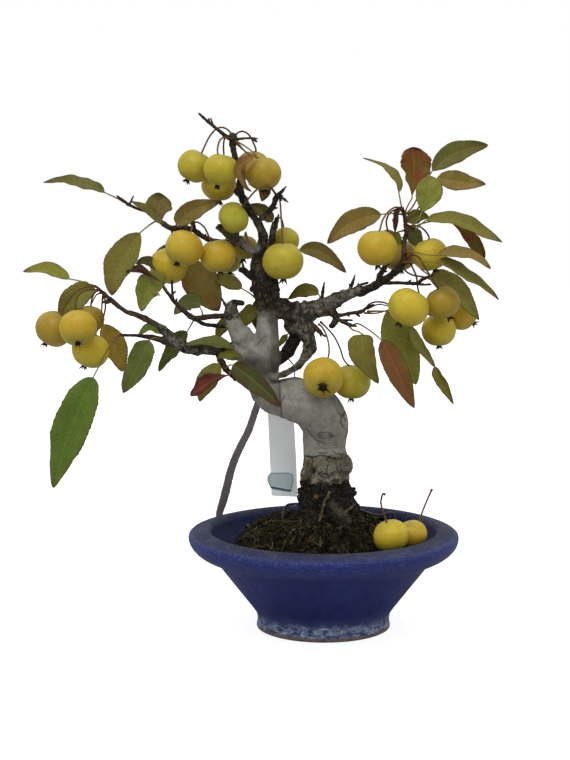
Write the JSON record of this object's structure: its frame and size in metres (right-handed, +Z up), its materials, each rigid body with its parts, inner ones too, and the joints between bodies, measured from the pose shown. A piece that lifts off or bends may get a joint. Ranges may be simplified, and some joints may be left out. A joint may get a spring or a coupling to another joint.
{
  "type": "crabapple bonsai in a round pot",
  "caption": "Potted crabapple bonsai: a bent grey trunk with knobbly limbs, autumn leaves and hanging yellow crabapples, in a round flared blue glazed bowl.",
  "frame": {"origin": "centre of the pot's underside, on the plane that it stands on", "axes": "+Z up, +X to the right and -Y to the front as the picture shows the tree"},
  "size_m": [0.3215, 0.19, 0.3576],
  "materials": {
    "blue_glaze": "matte cobalt blue glaze, worn grey on the lip, pale bloom at the foot",
    "mesh_plastic": "black moulded plastic mesh",
    "bonsai_soil": "damp dark grit and loam with moss and dry fibres",
    "bark": "pale grey bark, wrinkled, darker on the twigs, nearly black at the base",
    "wire_coating": "dark brown coated wire",
    "strap_webbing": "grey-purple woven webbing",
    "label_card": "pale blue-white plastic card, bare",
    "sticker_paper": "pale mint paper label with a printed outline",
    "label_cord": "thin dark twine",
    "fruit_skin": "golden yellow waxy apple skin with green and orange blush",
    "leaf_green": "olive green autumn leaf turning orange, red and brown"
  },
  "bodies": {
    "root": {"anchor_wire": "wire_coating", "apple_01": "fruit_skin", "apple_02": "fruit_skin", "apple_03": "fruit_skin", "apple_04": "fruit_skin", "apple_05": "fruit_skin", "apple_06": "fruit_skin", "apple_08": "fruit_skin", "apple_09": "fruit_skin", "apple_10": "fruit_skin", "apple_11": "fruit_skin", "apple_12": "fruit_skin", "apple_13": "fruit_skin", "apple_14": "fruit_skin", "apple_15": "fruit_skin", "apple_16": "fruit_skin", "apple_17": "fruit_skin", "apple_18": "fruit_skin", "apple_19": "fruit_skin", "apple_20": "fruit_skin", "apple_21": "fruit_skin", "apple_22": "fruit_skin", "apple_23": "fruit_skin", "apple_24": "fruit_skin", "apple_25": "fruit_skin", "apple_27": "fruit_skin", "apple_28": "fruit_skin", "apple_29": "fruit_skin", "apple_30": "fruit_skin", "drainage_mesh": "mesh_plastic", "guy_strap": "strap_webbing", "label_tag": "label_card", "label_tie": "label_cord", "leaf_01": "leaf_green", "leaf_02": "leaf_green", "leaf_03": "leaf_green", "leaf_04": "leaf_green", "leaf_05": "leaf_green", "leaf_06": "leaf_green", "leaf_07": "leaf_green", "leaf_08": "leaf_green", "leaf_09": "leaf_green", "leaf_10": "leaf_green", "leaf_11": "leaf_green", "leaf_12": "leaf_green", "leaf_13": "leaf_green", "leaf_14": "leaf_green", "leaf_15": "leaf_green", "leaf_16": "leaf_green", "leaf_17": "leaf_green", "leaf_18": "leaf_green", "leaf_19": "leaf_green", "leaf_20": "leaf_green", "leaf_21": "leaf_green", "leaf_22": "leaf_green", "leaf_23": "leaf_green", "pot": "blue_glaze", "price_sticker": "sticker_paper", "soil": "bonsai_soil", "tree": "bark"}
  },
  "joints": []
}
